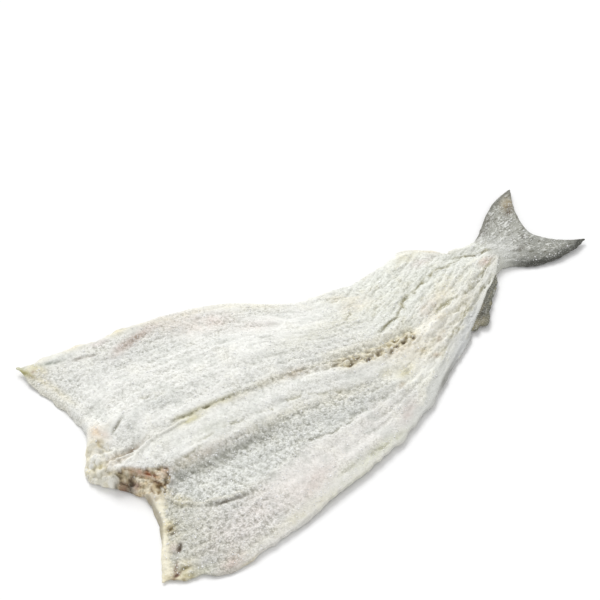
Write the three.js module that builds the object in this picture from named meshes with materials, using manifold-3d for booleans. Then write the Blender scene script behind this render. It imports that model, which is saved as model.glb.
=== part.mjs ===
// A salted dried cod: headed, split open along the belly and laid flat, flesh side up,
// with the tail fin on. The whole fish is one solid.
//
// Millimetres. While the fish is shaped, x runs from the nape (0) to the tail, +y is the left
// flap, -y the right flap, and +z is up. The last step moves the origin to the middle of the
// base, so that the skin side rests on z = 0.

import * as THREE from 'three';
import { mergeVertices } from 'three/addons/utils/BufferGeometryUtils.js';
import Module from 'manifold-3d';

const wasm = await Module();
wasm.setup();

// ---- Driving dimensions ----

const TAIL_ROOT = 505; // nape to the narrow stalk in front of the tail fin
const FORK = 566; // nape to the bottom of the tail's notch
const LEFT_LOBE = 31; // how far each lobe of the tail reaches past the notch
const RIGHT_LOBE = 46;
const LEFT_HOLLOW = 1.9; // above 1, the lobes' rear edges curve in
const RIGHT_HOLLOW = 1.5;
const STALK_BLEND = 55; // length over which the flaps close into the round stalk

const LOIN_AT_NAPE = 25; // thickness of the fillet beside the backbone
const LOIN_AT_MIDDLE = 23;
const LOIN_AT_STALK = 14;
const CUT_LEAN = 0.3; // how far the cut face at the nape leans back, per mm of thickness
const FLAP_THINNING = 0.5; // share of thickness that the flaps lose towards their front edge
const THINNING_REACH = 45;

const RIM_LIFT = 3.2; // how far the dried rims curl up from the table
const CORNER_LIFT = 2.5; // what the two front corners add to that
const TAIL_LIFT = 4;
const FIN_THICKNESS = 2.6;

const BODY_ROWS = 36;
const TAIL_ROWS = 10;
const COLUMNS = 26;
const CENTRE_CROWDING = 1.25; // above 1, the columns crowd towards the backbone groove

// ---- Small helpers ----

const clamp01 = (t) => Math.min(Math.max(t, 0), 1);
const step = (from, to, x) => {
  const t = clamp01((x - from) / (to - from));
  return t * t * (3 - 2 * t);
};
const mix = (a, b, t) => a + (b - a) * t;

// A smooth curve through [position, value] pairs: cubic Hermite spans whose slopes come from
// the neighbouring pairs, held level beyond both ends.
function curveThrough(pairs) {
  const slopes = pairs.map((pair, i) => {
    const before = pairs[Math.max(i - 1, 0)];
    const after = pairs[Math.min(i + 1, pairs.length - 1)];
    return (after[1] - before[1]) / (after[0] - before[0]);
  });
  return (x) => {
    const first = pairs[0];
    const last = pairs[pairs.length - 1];
    if (x <= first[0]) return first[1];
    if (x >= last[0]) return last[1];
    const i = pairs.findIndex((pair) => pair[0] > x) - 1;
    const [x0, y0] = pairs[i];
    const [x1, y1] = pairs[i + 1];
    const span = x1 - x0;
    const t = (x - x0) / span;
    const rise = (1 + 2 * t) * (1 - t) ** 2 * y0 + t * t * (3 - 2 * t) * y1;
    const bend = t * (1 - t) ** 2 * slopes[i] + t * t * (t - 1) * slopes[i + 1];
    return rise + span * bend;
  };
}

// ---- Plan: the outline seen from above ----

// y of the left edge, the right edge and the backbone line between them, along x.
const leftEdge = curveThrough([
  [-20, 161], [0, 154], [30, 154], [60, 147], [150, 134], [215, 111], [260, 78], [290, 65],
  [360, 58], [430, 59], [467, 35], [TAIL_ROOT, 28], [544, 55], [575, 68], [600, 72],
]);
const rightEdge = curveThrough([
  [-20, -140], [20, -161], [60, -172], [170, -160], [253, -148], [290, -136], [322, -124],
  [338, -114], [395, -83], [411, -75], [437, -59], [475, -35], [TAIL_ROOT, -21], [533, -35],
  [556, -44], [575, -47], [612, -42],
]);
const backbone = curveThrough([
  [-20, -7], [80, -8], [160, -19], [220, -23], [290, -38], [345, -45], [400, -36],
  [460, -12], [TAIL_ROOT, 0], [FORK, 2],
]);

// The W-shaped cut at the nape: x of the front edge across the fish, from the right corner
// (-1) over the thick stump of the neck (0) to the left corner (+1).
const napeCut = curveThrough([
  [-1, -15], [-0.78, -1], [-0.66, 7], [-0.54, 16], [-0.4, 18.5], [-0.3, 18.5], [-0.22, 8],
  [-0.16, -1], [-0.11, -8], [-0.06, -13], [0.03, -18], [0.1, -14], [0.18, -4], [0.29, 6],
  [0.42, 7], [0.65, -1], [0.85, -11], [1, -15],
]);

// The forked rear edge of the tail fin.
const tailEdge = (across) => {
  if (across > 0) return FORK + LEFT_LOBE * across ** LEFT_HOLLOW;
  return FORK + RIGHT_LOBE * (-across) ** RIGHT_HOLLOW;
};

function planY(x, across) {
  const edge = across > 0 ? leftEdge(x) : rightEdge(x);
  return mix(backbone(x), edge, Math.abs(across));
}

// ---- Thickness ----

const loin = curveThrough([
  [-20, LOIN_AT_NAPE - 3], [60, LOIN_AT_NAPE], [250, LOIN_AT_MIDDLE], [400, 17],
  [TAIL_ROOT, LOIN_AT_STALK],
]);

// Thickness across each flap as a share of the loin: a groove at the backbone (0), the
// crown of the loin, and the belly flap thinning to the rim (1). The right flap also has
// a trough beside its loin.
const leftSection = curveThrough([
  [0, 0.76], [0.07, 0.94], [0.2, 1], [0.42, 0.82], [0.66, 0.48], [0.86, 0.28], [1, 0.15],
]);
const rightSection = curveThrough([
  [0, 0.76], [0.08, 0.96], [0.2, 0.94], [0.4, 0.56], [0.55, 0.5], [0.8, 0.34], [1, 0.14],
]);

const tailThickness = curveThrough([
  [TAIL_ROOT, LOIN_AT_STALK], [530, 8], [FORK, 4.2], [612, FIN_THICKNESS],
]);

function thickness(x, across) {
  const reach = Math.abs(across);
  const section = across > 0 ? leftSection(reach) : rightSection(reach);
  const fromCut = (x - napeCut(across)) / THINNING_REACH;
  const thinning = FLAP_THINNING * step(0.2, 0.42, reach) * Math.exp(-fromCut * fromCut);
  const body = loin(x) * section * (1 - thinning);
  const rounding = mix(0.35, 1, Math.sqrt(1 - reach * reach));
  const tail = Math.max(tailThickness(x) * rounding, FIN_THICKNESS);
  return mix(body, tail, step(TAIL_ROOT - STALK_BLEND, TAIL_ROOT, x));
}

// Height of the skin side: flat on the table, with dried rims, front corners and tail raised.
function skinHeight(x, across) {
  const rim = RIM_LIFT * step(0.74, 1, Math.abs(across)) * (1 - step(430, 500, x));
  const corner = CORNER_LIFT * step(0.7, 1, Math.abs(across)) * (1 - step(-15, 60, x));
  const tail = TAIL_LIFT * step(500, 600, x);
  return rim + corner + tail;
}

// ---- The fish as one closed grid ----

// Rows run from the cut at the nape to the stalk and on to the forked edge of the tail.
function rowX(row, across) {
  if (row <= BODY_ROWS) return mix(napeCut(across), TAIL_ROOT, row / BODY_ROWS);
  return mix(TAIL_ROOT, tailEdge(across), (row - BODY_ROWS) / TAIL_ROWS);
}

function columnAcross(column) {
  const t = (2 * column) / COLUMNS - 1;
  return Math.sign(t) * Math.abs(t) ** CENTRE_CROWDING;
}

function splitFish() {
  const rows = BODY_ROWS + TAIL_ROWS;
  const flesh = [];
  const skin = [];
  for (let row = 0; row <= rows; row++) {
    for (let column = 0; column <= COLUMNS; column++) {
      const across = columnAcross(column);
      const x = rowX(row, across);
      const y = planY(x, across);
      const z = skinHeight(x, across);
      const deep = thickness(x, across);
      const lean = row === 0 ? CUT_LEAN * deep : 0;
      skin.push(x, y, z);
      flesh.push(x + lean, y, z + deep);
    }
  }

  const wide = COLUMNS + 1;
  const count = wide * (rows + 1);
  const faces = [];
  for (let row = 0; row < rows; row++) {
    for (let column = 0; column < COLUMNS; column++) {
      const a = row * wide + column;
      const b = a + wide;
      faces.push(a, b, b + 1, a, b + 1, a + 1);
      faces.push(count + a, count + b + 1, count + b, count + a, count + a + 1, count + b + 1);
    }
  }

  // The rim, walked anticlockwise seen from above: right edge, tail, left edge, nape.
  const rim = [];
  for (let row = 0; row < rows; row++) rim.push(row * wide);
  for (let column = 0; column < COLUMNS; column++) rim.push(rows * wide + column);
  for (let row = rows; row > 0; row--) rim.push(row * wide + COLUMNS);
  for (let column = COLUMNS; column > 0; column--) rim.push(column);
  rim.forEach((a, i) => {
    const b = rim[(i + 1) % rim.length];
    faces.push(count + a, count + b, b, count + a, b, a);
  });

  const geometry = new THREE.BufferGeometry();
  geometry.setAttribute('position', new THREE.Float32BufferAttribute([...flesh, ...skin], 3));
  geometry.setIndex(faces);
  return geometry;
}

// ---- The anal fin, which shows past the right edge in front of the tail ----

const FIN_BASE = 3; // height of the fin's underside
const FIN_DEPTH = 2.8;

function analFin() {
  const outline = new THREE.Shape();
  outline.moveTo(485, -26);
  outline.lineTo(479, -38);
  outline.splineThru([
    new THREE.Vector2(466, -49),
    new THREE.Vector2(448, -63),
    new THREE.Vector2(437, -74),
  ]);
  outline.lineTo(426, -76);
  outline.lineTo(411, -74);
  outline.lineTo(414, -64);
  outline.lineTo(440, -40);
  outline.closePath();
  const plate = new THREE.ExtrudeGeometry(outline, {
    depth: FIN_DEPTH,
    bevelEnabled: false,
    curveSegments: 3,
  });
  plate.translate(0, 0, FIN_BASE);
  return plate;
}

// ---- Joining ----

function toSolid(geometry) {
  const bare = geometry.clone();
  bare.deleteAttribute('normal');
  bare.deleteAttribute('uv');
  const merged = mergeVertices(bare, 1e-4);
  return new wasm.Manifold(new wasm.Mesh({
    numProp: 3,
    vertProperties: new Float32Array(merged.attributes.position.array),
    triVerts: new Uint32Array(merged.index.array),
  }));
}

function toGeometry(solid) {
  const mesh = solid.getMesh();
  const geometry = new THREE.BufferGeometry();
  geometry.setAttribute('position', new THREE.BufferAttribute(mesh.vertProperties, 3));
  geometry.setIndex(new THREE.BufferAttribute(mesh.triVerts, 1));
  return geometry;
}

const whole = toGeometry(toSolid(splitFish()).add(toSolid(analFin())));
whole.computeBoundingBox();
const box = whole.boundingBox;
const middle = box.getCenter(new THREE.Vector3());
whole.translate(-middle.x, -middle.y, -box.min.z);
whole.computeVertexNormals();

const saltedFlesh = new THREE.MeshStandardMaterial({
  color: 0xe2e1d9,
  roughness: 0.85,
  metalness: 0,
});

const fish = new THREE.Mesh(whole, saltedFlesh);
fish.name = 'split_cod';

const group = new THREE.Group();
group.add(fish);

export default group;
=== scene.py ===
"""Looks of the salted dried cod: salt-crusted flesh, skin side, tail fin, anal fin, salt grains.

Plan coordinates are millimetres: x from the nape to the tail, y across the fish, z up.
Maps are grids over the plan, one value per cell. Every piece is a closed mesh whose heights
and colours are read from such maps.
"""

import math

import bpy
import numpy as np
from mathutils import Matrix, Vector
from mathutils.bvhtree import BVHTree
from mathutils.geometry import delaunay_2d_cdt
from mathutils.kdtree import KDTree


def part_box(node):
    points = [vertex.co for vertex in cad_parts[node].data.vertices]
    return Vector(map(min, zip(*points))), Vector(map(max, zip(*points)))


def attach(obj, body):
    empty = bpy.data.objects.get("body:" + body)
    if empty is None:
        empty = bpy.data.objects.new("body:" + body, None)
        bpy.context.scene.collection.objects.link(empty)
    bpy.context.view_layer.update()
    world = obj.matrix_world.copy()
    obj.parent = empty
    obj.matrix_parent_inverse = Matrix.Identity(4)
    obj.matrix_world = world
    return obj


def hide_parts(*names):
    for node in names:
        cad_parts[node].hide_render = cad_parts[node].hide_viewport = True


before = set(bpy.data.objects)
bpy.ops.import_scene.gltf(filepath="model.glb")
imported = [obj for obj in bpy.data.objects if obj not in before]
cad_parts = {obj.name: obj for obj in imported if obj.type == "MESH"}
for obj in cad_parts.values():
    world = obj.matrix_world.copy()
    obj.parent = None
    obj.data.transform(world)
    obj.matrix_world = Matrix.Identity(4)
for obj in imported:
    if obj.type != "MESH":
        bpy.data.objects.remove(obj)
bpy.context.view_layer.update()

LOW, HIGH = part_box("split_cod")
MM = 0.001
SEED = 20
rng = np.random.default_rng(SEED)

# ---- Plan frame ----

NAPE_REACH = 17.9  # the neck stump stands this far in front of x = 0
RIGHT_REACH = 172.0  # the widest point of the right flap is this far from y = 0
PLAN_ORIGIN = np.array([LOW.x / MM + NAPE_REACH, LOW.y / MM + RIGHT_REACH, 0.0])
TAIL_ROOT = 505.0
OUTLINE_SPACING = 1.4  # between the points of an outline

CELL = 0.6  # side of a map cell
X0, X1 = -32.0, 628.0
Y0, Y1 = -186.0, 176.0
XS = np.arange(X0, X1, CELL)
YS = np.arange(Y0, Y1, CELL)
PX, PY = np.meshgrid(XS, YS, indexing="ij")


def smooth_curve(pairs, x):
    """Cubic Hermite curve through (position, value) pairs, held level beyond both ends."""
    px, py = np.array(pairs, float).T
    slope = np.gradient(py, px)
    x = np.clip(x, px[0], px[-1])
    i = np.clip(np.searchsorted(px, x, side="right") - 1, 0, len(px) - 2)
    span = px[i + 1] - px[i]
    t = (x - px[i]) / span
    rise = (1 + 2 * t) * (1 - t) ** 2 * py[i] + t * t * (3 - 2 * t) * py[i + 1]
    bend = t * (1 - t) ** 2 * slope[i] + t * t * (t - 1) * slope[i + 1]
    return rise + span * bend


def step(low, high, x):
    t = unit((x - low) / (high - low))
    return t * t * (3 - 2 * t)


def over(start, full, fading, end):
    """Along the fish: 0 up to start, 1 from full to fading, and 0 again past end."""
    return step(start, full, PX) * step(end, fading, PX)


def bump(x, width):
    return np.exp(-(x / width) ** 2)


def mix(a, b, t):
    return a + (b - a) * t


def unit(x):
    return np.clip(x, 0, 1)


# ---- Maps ----

# The squared frequencies of a map, for blur().
FREQ = (
    np.fft.fftfreq(len(XS), CELL)[:, None] ** 2 + np.fft.rfftfreq(len(YS), CELL)[None, :] ** 2
)


def blur(image, sigma):
    kernel = np.exp(-2 * (math.pi * sigma) ** 2 * FREQ)
    return np.fft.irfft2(np.fft.rfft2(image) * kernel, s=image.shape)


def sample(image, x, y):
    fx = np.clip((x - X0) / CELL, 0, len(XS) - 1.001)
    fy = np.clip((y - Y0) / CELL, 0, len(YS) - 1.001)
    i, j = fx.astype(int), fy.astype(int)
    u, v = fx - i, fy - j
    near = image[i, j] * (1 - v) + image[i, j + 1] * v
    far = image[i + 1, j] * (1 - v) + image[i + 1, j + 1] * v
    return near * (1 - u) + far * u


def value_noise(u, v):
    """Smooth noise in -1..1 with features one unit wide."""
    table = rng.uniform(-1, 1, (256, 256))
    i, j = np.floor(u).astype(int), np.floor(v).astype(int)
    s, t = u - i, v - j
    s, t = s * s * (3 - 2 * s), t * t * (3 - 2 * t)
    a, b = table[i % 256, j % 256], table[(i + 1) % 256, j % 256]
    c, d = table[i % 256, (j + 1) % 256], table[(i + 1) % 256, (j + 1) % 256]
    return mix(mix(a, b, s), mix(c, d, s), t)


def turned(u, v, degrees):
    a = math.radians(degrees)
    return u * math.cos(a) - v * math.sin(a), u * math.sin(a) + v * math.cos(a)


def grain(size, octaves=2, stretch=1.0):
    """Layered noise over the plan; stretch lengthens its features along the fish."""
    total, weight = 0.0, 1.0
    for octave in range(octaves):
        u, v = turned(FLOW_S / stretch, FLOW_Q, 31 * octave if stretch == 1 else 0)
        total = total + weight * value_noise(u / size + 17.3 * octave, v / size)
        size, weight = size / 2, weight / 2
    return total


def cells(size, stretch=1.0, waver=0.0):
    """Rounded crumbs about size mm wide: 0 in the creases to 1 on top, and a number for each."""
    u, v = turned(FLOW_S / stretch, FLOW_Q, 23 if stretch == 1 else 0)
    u, v = (u + waver * NOISE_3) / size, (v + waver * NOISE_6) / size
    offset_u, offset_v, number = rng.uniform(0, 1, (3, 256, 256))
    i, j = np.floor(u).astype(int), np.floor(v).astype(int)
    nearest, pick = np.full(u.shape, 9.0), np.zeros(u.shape)
    for m in (-1, 0, 1):
        for n in (-1, 0, 1):
            a, b = (i + m) % 256, (j + n) % 256
            gap = (i + m + offset_u[a, b] - u) ** 2 + (j + n + offset_v[a, b] - v) ** 2
            pick = np.where(gap < nearest, number[a, b], pick)
            nearest = np.minimum(nearest, gap)
    return unit(1 - 1.6 * nearest), pick


# ---- The CAD solid, as the base of the shape ----


def cad_solid():
    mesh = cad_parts["split_cod"].data
    mesh.calc_loop_triangles()
    points = np.empty(len(mesh.vertices) * 3)
    mesh.vertices.foreach_get("co", points)
    triangles = np.empty(len(mesh.loop_triangles) * 3, int)
    mesh.loop_triangles.foreach_get("vertices", triangles)
    points = np.round(points.reshape(-1, 3) / MM - PLAN_ORIGIN, 3)
    points, place = np.unique(points, axis=0, return_inverse=True)
    return points, place.ravel()[triangles].reshape(-1, 3)


def top_outline(points, triangles):
    """The longest loop round the upward faces, anticlockwise seen from above."""
    a, b, c = (points[triangles[:, k]] for k in range(3))
    normal = np.cross(b - a, c - a)
    up = triangles[normal[:, 2] > 0.05 * np.linalg.norm(normal, axis=1)]
    edges = {(t[k], t[(k + 1) % 3]) for t in up.tolist() for k in range(3)}
    follow = {p: q for p, q in edges if (q, p) not in edges}
    loops = []
    while follow:
        start, point = follow.popitem()
        loop = [start]
        while point != start:
            loop.append(point)
            point = follow.pop(point)
        loops.append(loop)
    return points[max(loops, key=len), :2]


def resample(loop, spacing):
    """Points at even steps along a closed loop."""
    closed = np.vstack([loop, loop[:1]])
    along = np.concatenate([[0], np.cumsum(np.linalg.norm(np.diff(closed, axis=0), axis=1))])
    stops = np.arange(0, along[-1] - spacing / 2, spacing)
    return np.stack([np.interp(stops, along, closed[:, k]) for k in range(2)], 1)


def outward(loop):
    tangent = np.roll(loop, -1, 0) - np.roll(loop, 1, 0)
    normal = np.stack([tangent[:, 1], -tangent[:, 0]], 1)
    return normal / np.linalg.norm(normal, axis=1, keepdims=True)


def loop_noise(loop, size):
    """Noise along a loop, with features about size mm long."""
    count = max(int(len(loop) * np.linalg.norm(loop[1] - loop[0]) / size), 4)
    values = rng.uniform(-1, 1, count)
    stops = np.linspace(0, count, len(loop), endpoint=False)
    i = stops.astype(int)
    t = stops - i
    return mix(values[i % count], values[(i + 1) % count], t * t * (3 - 2 * t))


def fill(loop):
    """1 inside the loop, 0 outside."""
    mask = np.zeros(PX.shape)
    a, b = loop, np.roll(loop, -1, 0)
    for i, x in enumerate(XS):
        crossing = (a[:, 0] <= x) != (b[:, 0] <= x)
        p, q = a[crossing], b[crossing]
        y = np.sort(p[:, 1] + (x - p[:, 0]) / (q[:, 0] - p[:, 0]) * (q[:, 1] - p[:, 1]))
        for low, high in zip(y[::2], y[1::2]):
            mask[i, (YS >= low) & (YS <= high)] = 1
    return mask


def cad_heights(tree, mask):
    """Smoothed heights of the solid's top and underside, and its top spread out to the rim."""
    every = 4  # cells from one ray to the next
    wall = 8.0  # the leaning cut face and the rim's wall, which the spread top leaves out
    narrow, wide = 3.5, 9.0  # how far heights are smoothed
    deep = blur(mask, wall / 2) > 0.9
    found = np.zeros((3,) + PX.shape)
    for i in range(0, len(XS), every):
        for j in range(0, len(YS), every):
            if not mask[i, j]:
                continue
            x, y = XS[i], YS[j]
            top = tree.ray_cast(Vector((x, y, 99)), Vector((0, 0, -1)))[0]
            base = tree.ray_cast(Vector((x, y, -9)), Vector((0, 0, 1)))[0]
            if top is not None and base is not None:
                found[:, i, j] = top.z, base.z, 1.0
    hits = np.maximum(blur(found[2], narrow), 1e-9)
    deep_hits = np.maximum(blur(found[2] * deep, wide), 1e-9)
    top, base = blur(found[0], narrow) / hits, blur(found[1], narrow) / hits
    return top, base, blur(found[0] * deep, wide) / deep_hits


# The body's own right edge, inside the anal fin.
REAR_EDGE = [
    (338, -114), (395, -83), (411, -75), (437, -59), (475, -35), (505, -21), (533, -35),
]
FIN_FRONT, FIN_BACK = 402.0, 488.0


def without_anal_fin(loop):
    """The outline, with the body's own edge where the anal fin stands out from it."""
    beside = (loop[:, 0] > FIN_FRONT) & (loop[:, 0] < FIN_BACK) & (loop[:, 1] < -20)
    first = np.flatnonzero(beside & ~np.roll(beside, 1))[0]
    kept = np.roll(loop, -first, 0)[beside.sum():]
    xs = np.arange(FIN_FRONT, FIN_BACK, OUTLINE_SPACING)
    return np.vstack([np.column_stack([xs, smooth_curve(REAR_EDGE, xs)]), kept])


solid_points, solid_triangles = cad_solid()
CAD_LOOP = resample(top_outline(solid_points, solid_triangles), OUTLINE_SPACING)
CAD_LOOP = without_anal_fin(CAD_LOOP)
FISH = fill(CAD_LOOP)
TREE = BVHTree.FromPolygons(solid_points.tolist(), solid_triangles.tolist())
CAD_TOP, CAD_BASE, CAD_SPREAD = cad_heights(TREE, FISH)
# The right flap's front rim lies flatter on the ground than the solid's does.
SETTLED = 0.8 * CAD_BASE * step(-100, -130, PY) * step(170, 80, PX)
CAD_TOP, CAD_BASE, CAD_SPREAD = CAD_TOP - SETTLED, CAD_BASE - SETTLED, CAD_SPREAD - SETTLED

columns = FISH.any(axis=1)
LEFT_Y = np.where(columns, np.where(FISH > 0, PY, Y0).max(axis=1), 0.0)
RIGHT_Y = np.where(columns, np.where(FISH > 0, PY, Y1).min(axis=1), 0.0)
rows = FISH.any(axis=0)
FRONT_X = np.where(rows, np.where(FISH > 0, PX, X1).min(axis=0), 0.0)
FROM_FRONT = PX - FRONT_X[None, :]
FROM_LEFT = LEFT_Y[:, None] - PY
FROM_RIGHT = PY - RIGHT_Y[:, None]

# ---- Lines on the flesh side: (x, y) points ----

BACKBONE = [
    (-20, -20), (24, -24), (47, -12), (68, -7), (82, -7), (100, -8.5), (126, -10.5), (144, -11.5),
    (161, -13.5), (177, -16), (200, -19), (222, -24), (240, -29), (258, -35), (272, -39),
    (290, -43), (307, -45), (330, -47), (345, -45), (390, -38), (450, -22), (505, -2),
]
# Where the right loin breaks off towards the trough beside it.
LOIN_EDGE = [
    (46, -46), (64, -50), (82, -53), (113, -55), (147, -58), (182, -62), (228, -68), (270, -74),
    (310, -80),
]
BELLY_LINE = [
    (33, -70), (41, -80), (49, -89), (60, -96), (72, -102), (84, -106), (104, -108), (124, -107),
    (150, -103), (176, -96),
]
BELLY_CREASE = [(170, -90), (193, -98), (212, -101), (235, -99), (250, -95), (276, -92)]
# The inner edge of the right belly flap.
FLAP_TOP = BELLY_LINE[:-1] + [(193, -98), (212, -101), (235, -99), (272, -94), (330, -98)]
LEFT_REAR = [
    (316, -29), (332, -26), (346, -22), (358, -15), (370, -6), (385, -2), (400, 4), (416, 10),
    (432, 12), (450, 11), (474, 14),
]
LEFT_STALK = [(460, 21), (470, 15), (478, 10.5), (488, 5), (500, 3), (514, 1)]
RIGHT_REAR = [(390, -37), (420, -33), (446, -30), (462, -24), (480, -16), (505, -8)]
RIGHT_REAR_LOW = [
    (356, -90), (368, -81), (382, -73), (400, -64), (420, -54), (440, -46), (464, -34), (490, -22),
]
# The long seams towards the tail: a line, and its depth.
SEAMS = [(LEFT_REAR, 1.7), (LEFT_STALK, 1.9), (RIGHT_REAR, 1.7), (RIGHT_REAR_LOW, 1.5)]
# Fainter creases: a line, its depth, and how wide it is.
CREASES = [
    ([(48, -46), (60, -47), (75, -48), (94, -49)], 0.9, 1.2),
    ([(88, -41), (105, -41), (119, -41), (140, -42)], 0.7, 1.6),
    (
        [(146, -42), (168, -48), (187, -46), (203, -50), (222, -59), (242, -66), (270, -73)],
        0.7, 1.6,
    ),
    ([(36, 26), (44, 33), (56, 37), (67, 38), (78, 34), (89, 29), (110, 25)], 0.6, 1.8),
    ([(300, 8), (312, 14), (322, 24), (334, 30)], 0.8, 1.5),
    ([(322, -8), (338, 2), (350, 14), (362, 20)], 0.8, 1.5),
    ([(346, -10), (360, -2), (370, 8), (386, 14)], 0.7, 1.4),
    ([(380, 20), (396, 25), (410, 31), (424, 32)], 0.8, 1.5),
    ([(396, -46), (414, -45), (432, -41), (450, -37)], 0.9, 1.5),
    ([(360, -66), (376, -60), (396, -56), (416, -52)], 0.9, 1.6),
    ([(404, -16), (424, -14), (446, -10), (470, -4)], 0.7, 1.4),
    ([(196, -143), (216, -142), (240, -141), (270, -138)], 0.7, 2.0),
]

SIDE = PY - smooth_curve(BACKBONE, PX)  # + on the left flap
LEFT_WIDTH = np.maximum(LEFT_Y - smooth_curve(BACKBONE, XS), 5)[:, None]
RIGHT_WIDTH = np.maximum(smooth_curve(BACKBONE, XS) - RIGHT_Y, 5)[:, None]
ACROSS = np.clip(np.where(SIDE > 0, SIDE / LEFT_WIDTH, SIDE / RIGHT_WIDTH), -1.3, 1.3)

# Noise coordinates: along the fish, and across it so that streaks follow the flaps' edges.
FLOW_S = PX
FLOW_Q = ACROSS * 130.0

NOISE_2 = grain(2.3, 2)
NOISE_3 = grain(3.4, 2)
NOISE_6 = grain(6.5, 2)
NOISE_14 = grain(14, 3)
NOISE_45 = grain(45, 3)
FIBRE = grain(3.0, 2, stretch=7.0)
STREAK = grain(9.0, 2, stretch=9.0)
CRUMB = cells(3.3, waver=1.2)[0]
FLAKE, FLAKE_PICK = cells(7.0, stretch=1.25, waver=3.2)
TORN_CRUMB, TORN_PICK = cells(4.6, waver=2.6)

RIM_NEAR = unit(2 * blur(FISH, 2.2) - 1)  # 0 at the outline, 1 some 4 mm inside
RIM_SOFT = unit(2 * blur(FISH, 6.0) - 1)  # the same, 12 mm inside
RIM_WIDE = unit(2 * blur(FISH, 14.0) - 1)  # the same, 28 mm inside


def streaks(degrees, long, short, octaves=2):
    """Layered noise drawn out in one direction of the plan, turned from the x axis."""
    total, weight = 0.0, 1.0
    for octave in range(octaves):
        u, v = turned(PX, PY, -degrees)
        total = total + weight * value_noise(u / long + 9.1 * octave, v / short)
        long, short, weight = long / 1.7, short / 1.7, weight * 0.6
    return total


LEFT_SLANT = streaks(24, 20, 3.0, 3)
RIGHT_SLANT = streaks(14, 18, 3.4, 3)
RIB_SLANT = streaks(-56, 16, 3.0)
TORN_SLANT = streaks(-52, 11, 2.1)


def line_distance(line):
    """Signed distance across a line that runs along the fish, and 1 along its span."""
    first, last = line[0][0], line[-1][0]
    gap = PY - smooth_curve(line, PX)
    slope = np.gradient(smooth_curve(line, XS), XS)[:, None]
    span = step(first - 4, first + 10, PX) * step(last + 4, last - 14, PX)
    return gap / np.sqrt(1 + slope**2), span


BACKBONE_GAP = line_distance(BACKBONE)[0]


def ridge(line, height, width, wander):
    """A ridge, or a strip of colour, along a line that wanders a little."""
    gap, along = line_distance(line)
    return height * along * bump(gap + wander * NOISE_6, width)


def spot(x, y, long, short, degrees=0.0):
    """1 at the middle of a soft oval patch, falling to 0 outside."""
    u, v = turned(PX - x, PY - y, -degrees)
    return np.exp(-((u / long) ** 2) - (v / short) ** 2)


def spots(*patches):
    """The sum of soft patches, each given as its height and the arguments of spot()."""
    return sum(height * spot(*place) for height, *place in patches)


# ---- The cut at the nape ----

# The torn hollow under the front end of the right loin.
HOLLOW_RIM = [
    (2, -22), (8, -22), (15, -27), (21, -32), (29, -37), (38, -42), (46, -45), (51, -50),
    (47, -56), (44, -62), (38, -63), (35, -67), (30, -62), (27, -65), (22, -57), (14, -52),
    (6, -48), (-4, -44), (-6, -38), (1, -33), (4, -30), (2, -28), (6, -26), (3, -24),
]
HOLLOW_FILL = fill(np.array(HOLLOW_RIM, float))
HOLLOW = 0.25 * NOISE_3 + 0.3 * NOISE_6 + 0.2 * TORN_SLANT
HOLLOW = blur(HOLLOW_FILL, 1.5) + HOLLOW * unit(5 * blur(HOLLOW_FILL, 3.0) - 0.5)
HOLLOW = step(0.36, 0.62, HOLLOW)
BOWL = step(0.35, 0.95, blur(HOLLOW_FILL, 4.0))  # how deep the hollow is, from its rim inwards
NECK = unit(1.4 * spot(-6, -6, 17, 24))  # the torn stump of the neck
# The front wall of that stump.
NECK_WALL = step(11, 4, FROM_FRONT) * step(-38, -28, PY) * step(30, 16, PY)
# The cream end of the collar bone, along the right flap's front edge.
COLLAR_WIDTH = smooth_curve(
    [(-152, 10), (-142, 11), (-130, 9), (-115, 7.5), (-100, 6), (-86, 7), (-72, 10), (-60, 12)], PY
)
COLLAR = step(-158, -148, PY) * step(-50, -58, PY)
COLLAR *= step(3.0, -2.5, FROM_FRONT - COLLAR_WIDTH + 2.6 * NOISE_6 + 1.8 * NOISE_3)
# Bright sinews that run back from the neck: a line, and its height.
SINEWS = [
    ([(4, -11), (17, -13), (32, -17), (54, -13), (77, -12), (98, -12)], 1.3),
    ([(11, -24), (20, -21), (29, -20), (44, -17)], 1.1),
    ([(-8, 8), (4, 0), (14, -3), (30, -6)], 0.7),
]

# ---- The row of bony stumps where the backbone was cut away ----

STUMP_SPACING = 11.3
STUMP_XS = np.arange(207, 350, STUMP_SPACING)


def bone_row():
    """Heights of the stumps, the stained band they stand in, and the dark pits between them."""
    heights, band, pits = np.zeros(PX.shape), np.zeros(PX.shape), np.zeros(PX.shape)
    for x in STUMP_XS + rng.uniform(-3.0, 3.0, len(STUMP_XS)):
        y = float(smooth_curve(BACKBONE, np.array([x]))[0]) + rng.uniform(-1.8, 1.8)
        strength = 0.3 + 0.7 * float(step(240, 270, x))
        size = rng.uniform(0.75, 1.35)
        knob = spot(x, y - 1.0, 4.2 * size, 3.2 * size, rng.uniform(-40, 40))
        around = spot(x, y - 3.5, 8.5, 7.2, -12)
        low_pit = spot(x + rng.uniform(1.0, 8.0), y - rng.uniform(5.0, 9.0), 4.2 * size, 2.2, 25)
        high_pit = spot(x + rng.uniform(3.0, 8.0), y + rng.uniform(-2.0, 3.0), 1.6, 3.0 * size, -30)
        heights += strength * (3.0 * knob - 1.3 * around - 1.8 * low_pit - 0.6 * high_pit)
        band += strength * around
        pits += strength * (low_pit + 0.5 * high_pit)
    band = unit(band)
    heights += band * (2.2 * (TORN_CRUMB - 0.5) + 1.2 * (TORN_PICK - 0.5) + 0.7 * NOISE_3)
    return heights, band, unit(pits * (0.9 + 0.4 * NOISE_3))


BONE_HEIGHTS, BONE_BAND, BONE_PITS = bone_row()

# ---- Flesh side: heights ----

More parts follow.
